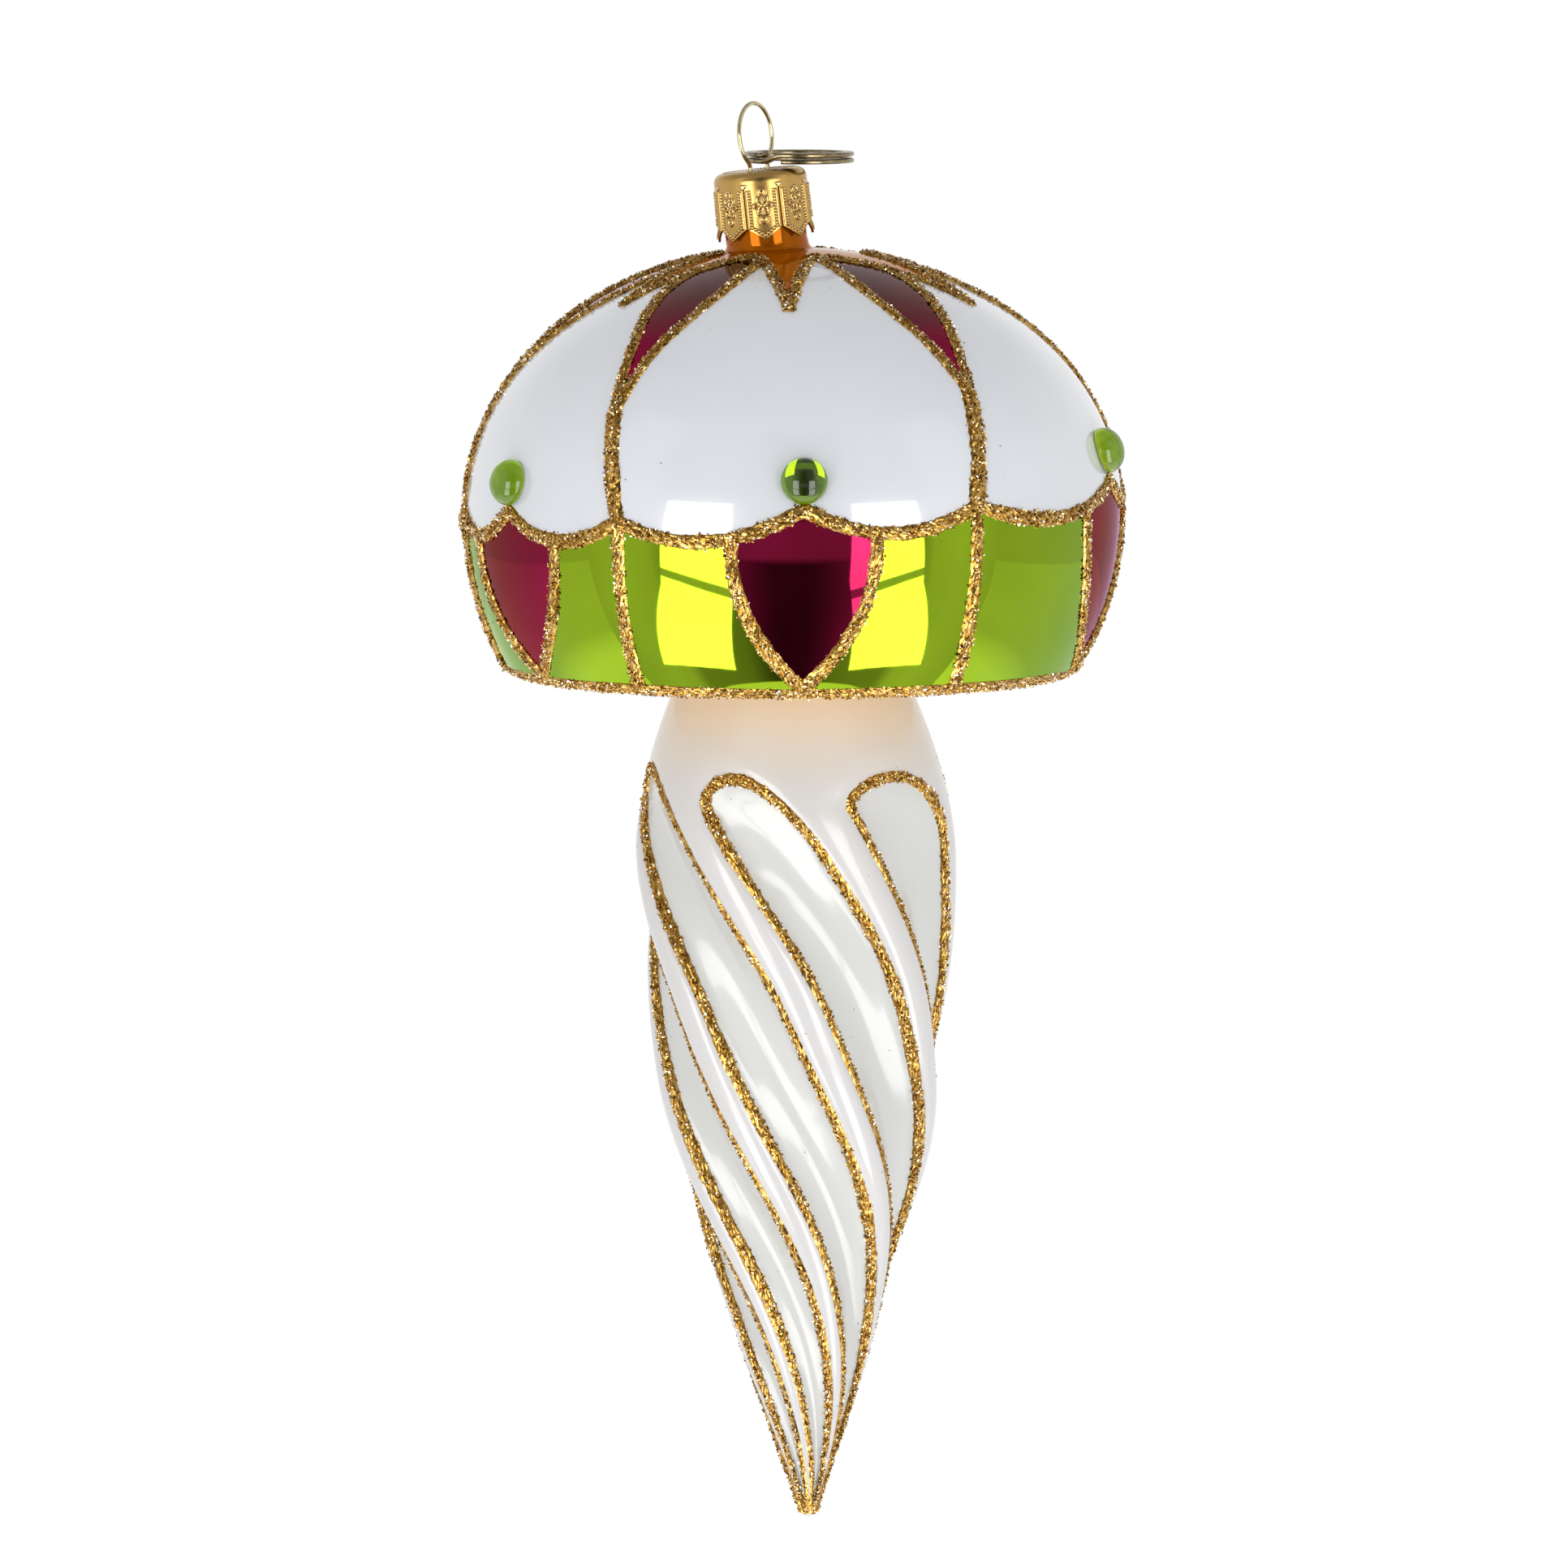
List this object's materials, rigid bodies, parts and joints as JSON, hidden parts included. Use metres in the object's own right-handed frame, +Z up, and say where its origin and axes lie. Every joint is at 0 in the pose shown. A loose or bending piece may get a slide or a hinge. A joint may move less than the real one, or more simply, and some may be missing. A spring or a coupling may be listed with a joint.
{
  "type": "mushroom ornament",
  "caption": "Blown-glass mushroom ornament: lacquered dome cap with gold glitter lines and glass cabochons, twisted ridged stem, stamped crown, wire loop and split ring.",
  "frame": {"origin": "inside the top of the hanging loop, where the hook bears", "axes": "+Z up, +X to the right and -Y to the front of the pictured side"},
  "size_m": [0.0825, 0.0847, 0.1753],
  "materials": {
    "silvered_glass": "thin blown glass, silvered inside",
    "pearl_glass": "glossy pearl-white painted glass",
    "white_lacquer": "glossy opaque white lacquer",
    "wine_lacquer": "clear wine lacquer over a mirror",
    "lime_lacquer": "clear lime lacquer over a mirror",
    "amber_lacquer": "clear amber lacquer",
    "lime_glass": "polished green glass, mirrored behind",
    "gold_glitter": "raised gold glitter",
    "stamped_crown": "satin gold stamped sheet",
    "hanger_wire": "bright pale brass wire",
    "split_ring": "antique brass"
  },
  "bodies": {
    "glass": {"cap_shell": "silvered_glass", "stem_shell": "pearl_glass", "amber_neck_coat": "amber_lacquer", "amber_star_coat": "amber_lacquer", "white_petal_1": "white_lacquer", "white_petal_2": "white_lacquer", "white_petal_3": "white_lacquer", "white_petal_4": "white_lacquer", "white_petal_5": "white_lacquer", "white_petal_6": "white_lacquer", "wine_dart_1": "wine_lacquer", "wine_dart_2": "wine_lacquer", "wine_dart_3": "wine_lacquer", "wine_dart_4": "wine_lacquer", "wine_dart_5": "wine_lacquer", "wine_dart_6": "wine_lacquer", "lime_panel_1": "lime_lacquer", "lime_panel_2": "lime_lacquer", "lime_panel_3": "lime_lacquer", "lime_panel_4": "lime_lacquer", "lime_panel_5": "lime_lacquer", "lime_panel_6": "lime_lacquer", "lime_panel_7": "lime_lacquer", "lime_panel_8": "lime_lacquer", "lime_panel_9": "lime_lacquer", "lime_panel_10": "lime_lacquer", "lime_panel_11": "lime_lacquer", "lime_panel_12": "lime_lacquer", "wine_shield_1": "wine_lacquer", "wine_shield_2": "wine_lacquer", "wine_shield_3": "wine_lacquer", "wine_shield_4": "wine_lacquer", "wine_shield_5": "wine_lacquer", "wine_shield_6": "wine_lacquer", "cabochon_1": "lime_glass", "cabochon_2": "lime_glass", "cabochon_3": "lime_glass", "cabochon_4": "lime_glass", "cabochon_5": "lime_glass", "cabochon_6": "lime_glass", "gold_rim": "gold_glitter", "gold_swag_border": "gold_glitter", "gold_petal_lines": "gold_glitter", "gold_dart_lines": "gold_glitter", "gold_star_line": "gold_glitter", "gold_shield_lines": "gold_glitter", "gold_stem_line_1": "gold_glitter", "gold_stem_line_2": "gold_glitter", "gold_stem_line_3": "gold_glitter", "gold_stem_line_4": "gold_glitter", "gold_stem_line_5": "gold_glitter", "gold_stem_line_6": "gold_glitter", "gold_stem_line_7": "gold_glitter"},
    "crown": {"crown_cap": "stamped_crown"},
    "hanger": {"hanger_wire": "hanger_wire"},
    "ring": {"split_ring": "split_ring"}
  },
  "joints": [
    {"name": "crown_swivel", "type": "hinge", "parent": "glass", "child": "crown", "pos_m": [0, 0, 0], "axis": [-0.1045, 0, 0.9945], "continuous": true},
    {"name": "wire_slide", "type": "slide", "parent": "crown", "child": "hanger", "axis": [-0.1045, 0, 0.9945], "range_m": [0, 0.003]},
    {"name": "ring_lift", "type": "hinge", "parent": "crown", "child": "ring", "pos_m": [-0.00094, 0.00302, -0.00704], "axis": [0, -1, 0], "range_deg": [0, 30]}
  ]
}
